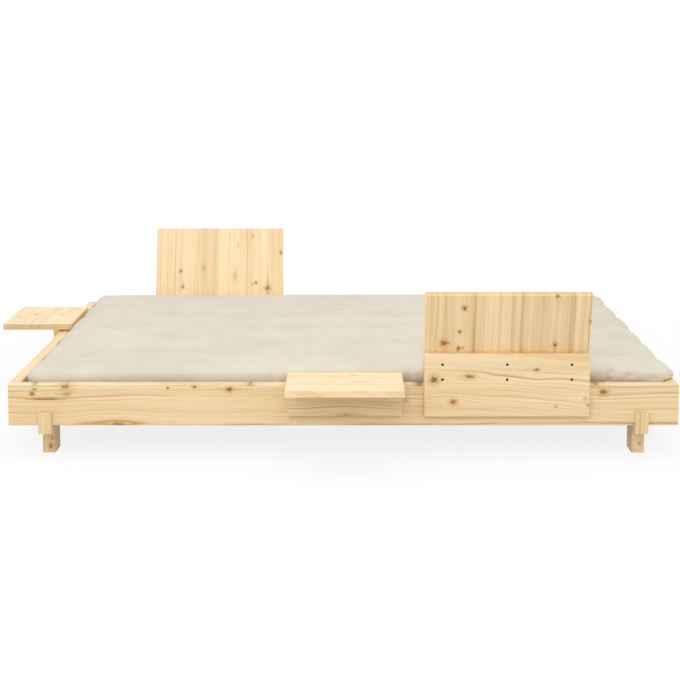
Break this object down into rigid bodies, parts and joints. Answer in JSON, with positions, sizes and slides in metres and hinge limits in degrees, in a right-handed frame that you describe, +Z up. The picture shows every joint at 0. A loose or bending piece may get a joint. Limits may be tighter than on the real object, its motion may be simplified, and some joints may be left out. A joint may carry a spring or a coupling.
{
  "type": "sofa bed",
  "caption": "Low solid pine sofa bed: slatted platform on notched legs with a tufted futon, slide-on leaning backrests and slide-on side tables.",
  "frame": {"origin": "on the floor under the middle of the bed, at the foot of the centre leg", "axes": "+X along the bed with the side table beyond its left end at -X, +Y from the front to the back, +Z up"},
  "size_m": [2.273, 1.7411, 0.5219],
  "materials": {
    "rail_pine": "matte",
    "leg_pine": "matte",
    "panel_pine": "matte",
    "table_pine": "matte",
    "slat_pine": "matte",
    "beech_dowel": "matte",
    "mattress_cotton": "matte",
    "tuft_cotton": "matte",
    "webbing": "matte",
    "zinc_steel": "satin",
    "black_screw": "satin"
  },
  "bodies": {
    "bed_frame": {"front_rail": "rail_pine", "back_rail": "rail_pine", "left_end_rail": "rail_pine", "right_end_rail": "rail_pine", "front_ledger": "rail_pine", "back_ledger": "rail_pine", "centre_beam": "rail_pine", "centre_leg": "leg_pine", "centre_leg_dowel": "beech_dowel", "left_beam_hanger": "zinc_steel", "right_beam_hanger": "zinc_steel", "front_left_leg": "leg_pine", "front_right_leg": "leg_pine", "back_left_leg": "leg_pine", "back_right_leg": "leg_pine", "front_left_bracket": "zinc_steel", "front_right_bracket": "zinc_steel", "back_left_bracket": "zinc_steel", "back_right_bracket": "zinc_steel", "frame_screws": "zinc_steel", "bracket_screws": "zinc_steel", "front_slat_strap": "webbing", "back_slat_strap": "webbing", "slat_01": "slat_pine", "slat_02": "slat_pine", "slat_03": "slat_pine", "slat_04": "slat_pine", "slat_05": "slat_pine", "slat_06": "slat_pine", "slat_07": "slat_pine", "slat_08": "slat_pine", "slat_09": "slat_pine", "slat_10": "slat_pine", "slat_11": "slat_pine", "slat_12": "slat_pine", "slat_13": "slat_pine", "slat_14": "slat_pine"},
    "mattress": {"futon_mattress": "mattress_cotton", "mattress_tufts": "tuft_cotton"},
    "front_backrest": {"front_backrest_panel": "panel_pine", "front_backrest_board": "rail_pine", "front_backrest_wedge": "rail_pine", "front_backrest_screws": "black_screw"},
    "back_backrest": {"back_backrest_panel": "panel_pine", "back_backrest_board": "rail_pine", "back_backrest_wedge": "rail_pine", "back_backrest_screws": "black_screw"},
    "front_table": {"front_table_top": "table_pine", "front_table_apron": "rail_pine", "front_table_cleat": "rail_pine", "front_table_spacers": "rail_pine", "front_table_dowels": "beech_dowel"},
    "left_table": {"left_table_top": "table_pine", "left_table_apron": "rail_pine", "left_table_cleat": "rail_pine", "left_table_spacers": "rail_pine", "left_table_dowels": "beech_dowel"}
  },
  "joints": [
    {"name": "front_backrest_slide", "type": "slide", "parent": "bed_frame", "child": "front_backrest", "axis": [1, 0, 0], "range_m": [-0.03, 0.143]},
    {"name": "back_backrest_slide", "type": "slide", "parent": "bed_frame", "child": "back_backrest", "axis": [1, 0, 0], "range_m": [-0.143, 1.145]},
    {"name": "front_table_slide", "type": "slide", "parent": "bed_frame", "child": "front_table", "axis": [1, 0, 0], "range_m": [-0.72, 0.03]},
    {"name": "left_table_slide", "type": "slide", "parent": "bed_frame", "child": "left_table", "axis": [0, 1, 0], "range_m": [-0.81, 0.24]},
    {"name": "mattress_lift", "type": "slide", "parent": "bed_frame", "child": "mattress", "axis": [0, 0, 1], "range_m": [0, 0.3]}
  ]
}
